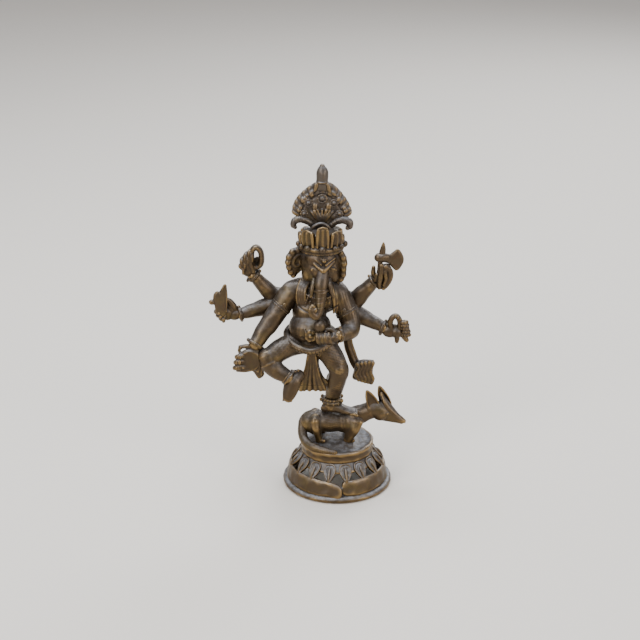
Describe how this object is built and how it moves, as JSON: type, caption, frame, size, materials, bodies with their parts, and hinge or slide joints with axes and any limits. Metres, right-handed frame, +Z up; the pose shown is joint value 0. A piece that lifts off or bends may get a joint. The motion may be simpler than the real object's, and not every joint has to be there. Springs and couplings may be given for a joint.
{
  "type": "deity statuette",
  "caption": "Cast brass figurine of an elephant-headed dancing deity on a rat, over an open lotus base.",
  "frame": {"origin": "centre of the round base's resting face", "axes": "+Z up; the figure faces -Y; +X is the figure's own left-hand side"},
  "size_m": [0.1044, 0.0596, 0.1793],
  "materials": {
    "skin_bronze": "aged dark brown patina with rubbed golden high spots",
    "cloth_bronze": "engraved pleats with dark patina in the grooves",
    "ornament_bronze": "beaded wax-thread work, rubbed brighter than the body",
    "hood_bronze": "chased scales, dark patina",
    "attribute_bronze": "aged patina, edges rubbed bright",
    "rat_bronze": "as-cast dark patina",
    "base_bronze": "aged patina, lip of the plinth rubbed golden"
  },
  "bodies": {
    "root": {"anklets": "ornament_bronze", "armlets": "ornament_bronze", "axe_head": "attribute_bronze", "axe_shaft": "attribute_bronze", "base_band": "base_bronze", "base_flange": "base_bronze", "belt": "cloth_bronze", "crown_band": "ornament_bronze", "crown_beads": "ornament_bronze", "crown_leaves": "ornament_bronze", "front_sash": "cloth_bronze", "head": "skin_bronze", "hood_arch": "hood_bronze", "hood_bosses": "hood_bronze", "hood_curls": "hood_bronze", "hood_fan": "hood_bronze", "hood_finial": "hood_bronze", "leaf_emblem": "attribute_bronze", "left_ear": "skin_bronze", "left_scarf": "cloth_bronze", "lotus_bud": "attribute_bronze", "lotus_collar": "base_bronze", "lotus_petals": "base_bronze", "lower_left_arm": "skin_bronze", "lower_left_bangle": "ornament_bronze", "lower_left_hand": "skin_bronze", "lower_right_arm": "skin_bronze", "lower_right_bangle": "ornament_bronze", "lower_right_hand": "skin_bronze", "middle_left_arm": "skin_bronze", "middle_left_bangle": "ornament_bronze", "middle_left_hand": "skin_bronze", "middle_right_arm": "skin_bronze", "middle_right_bangle": "ornament_bronze", "middle_right_hand": "skin_bronze", "necklace": "ornament_bronze", "noose": "attribute_bronze", "plinth": "base_bronze", "raised_foot": "skin_bronze", "raised_leg": "cloth_bronze", "rat_body": "rat_bronze", "rat_ears": "rat_bronze", "rat_head": "rat_bronze", "rat_tail": "rat_bronze", "right_ear": "skin_bronze", "right_scarf": "cloth_bronze", "sacred_thread": "ornament_bronze", "standing_foot": "skin_bronze", "standing_leg": "cloth_bronze", "sweet_ball": "attribute_bronze", "torso": "skin_bronze", "trunk": "skin_bronze", "tusks": "attribute_bronze", "upper_left_arm": "skin_bronze", "upper_left_bangle": "ornament_bronze", "upper_left_hand": "skin_bronze", "upper_right_arm": "skin_bronze", "upper_right_bangle": "ornament_bronze", "upper_right_hand": "skin_bronze"}
  },
  "joints": []
}
